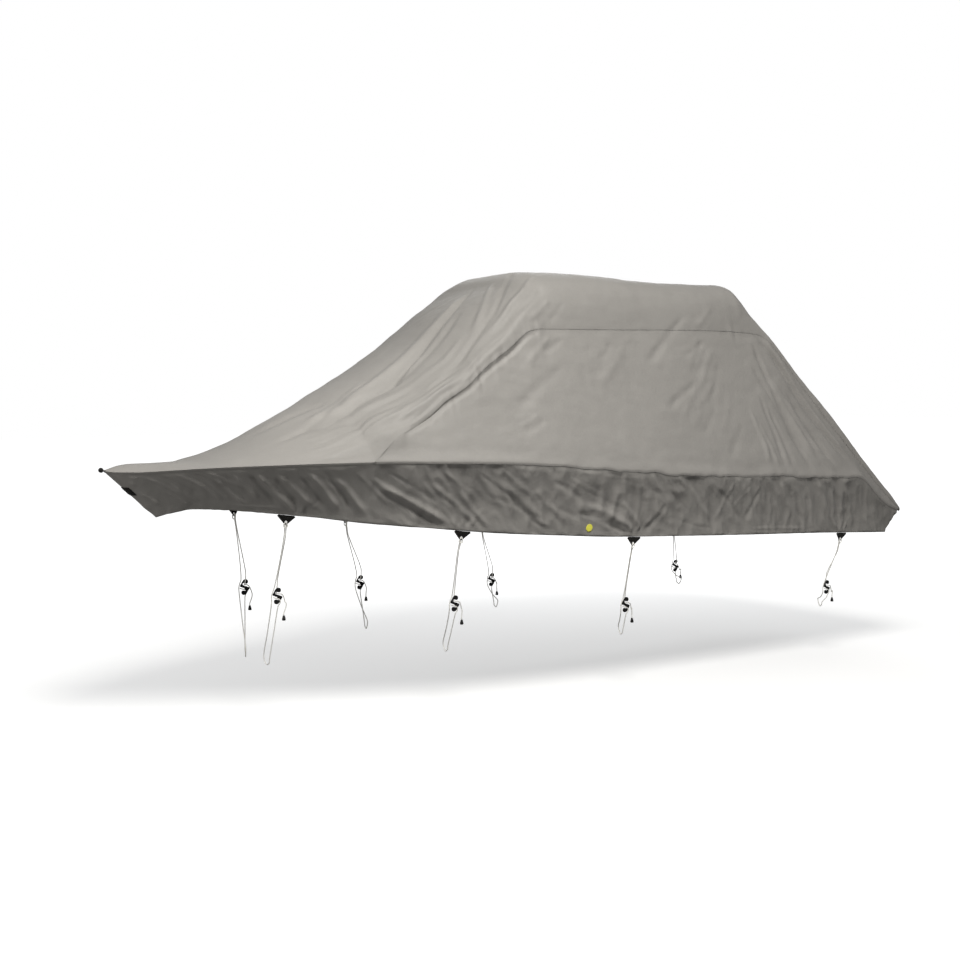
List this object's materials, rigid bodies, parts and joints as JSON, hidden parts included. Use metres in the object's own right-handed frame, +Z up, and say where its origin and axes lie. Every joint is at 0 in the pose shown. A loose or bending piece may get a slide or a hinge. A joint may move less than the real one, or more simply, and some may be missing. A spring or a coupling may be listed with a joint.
{
  "type": "fitted boat cover with tie-downs",
  "caption": "Fitted grey fabric cover for a boat with a raised hard top: a long middle panel over the roof, side panels and a skirt, held down by rope ties with hooks.",
  "frame": {"origin": "On the underside of the roof, on the centre line, at the station of the mount where the boat's hard top holds the cover up.", "axes": "+X towards the stern, +Y towards starboard, +Z up."},
  "size_m": [6.9189, 2.4242, 2.9152],
  "materials": {
    "cloth": "matt coated woven polyester, warm grey",
    "webbing": "black webbing",
    "rope": "white braided rope",
    "hook": "black plastic",
    "patch": "plain yellow"
  },
  "bodies": {
    "root": {"middle_panel_bow": "cloth", "middle_panel_slope_low": "cloth", "middle_panel_slope_high": "cloth", "middle_panel_roof": "cloth", "middle_panel_edge": "cloth", "middle_panel_back_high": "cloth", "middle_panel_back_middle": "cloth", "middle_panel_back_low": "cloth", "side_panel_port_slope": "cloth", "side_panel_port_roof": "cloth", "side_panel_port_back_high": "cloth", "side_panel_port_back_low": "cloth", "side_panel_starboard_slope": "cloth", "side_panel_starboard_roof": "cloth", "side_panel_starboard_back_high": "cloth", "side_panel_starboard_back_low": "cloth", "skirt": "cloth", "tab_port_1": "webbing", "rope_port_1": "rope", "hook_port_1": "hook", "cord_end_port_1": "hook", "tab_port_2": "webbing", "rope_port_2": "rope", "hook_port_2": "hook", "cord_end_port_2": "hook", "tab_port_3": "webbing", "rope_port_3": "rope", "hook_port_3": "hook", "cord_end_port_3": "hook", "tab_port_4": "webbing", "rope_port_4": "rope", "hook_port_4": "hook", "cord_end_port_4": "hook", "tab_starboard_1": "webbing", "rope_starboard_1": "rope", "hook_starboard_1": "hook", "cord_end_starboard_1": "hook", "tab_starboard_2": "webbing", "rope_starboard_2": "rope", "hook_starboard_2": "hook", "cord_end_starboard_2": "hook", "tab_starboard_3": "webbing", "rope_starboard_3": "rope", "hook_starboard_3": "hook", "cord_end_starboard_3": "hook", "tab_starboard_4": "webbing", "rope_starboard_4": "rope", "hook_starboard_4": "hook", "cord_end_starboard_4": "hook", "round_patch": "patch", "bow_tab": "webbing", "bow_tip_loop": "webbing"}
  },
  "joints": []
}
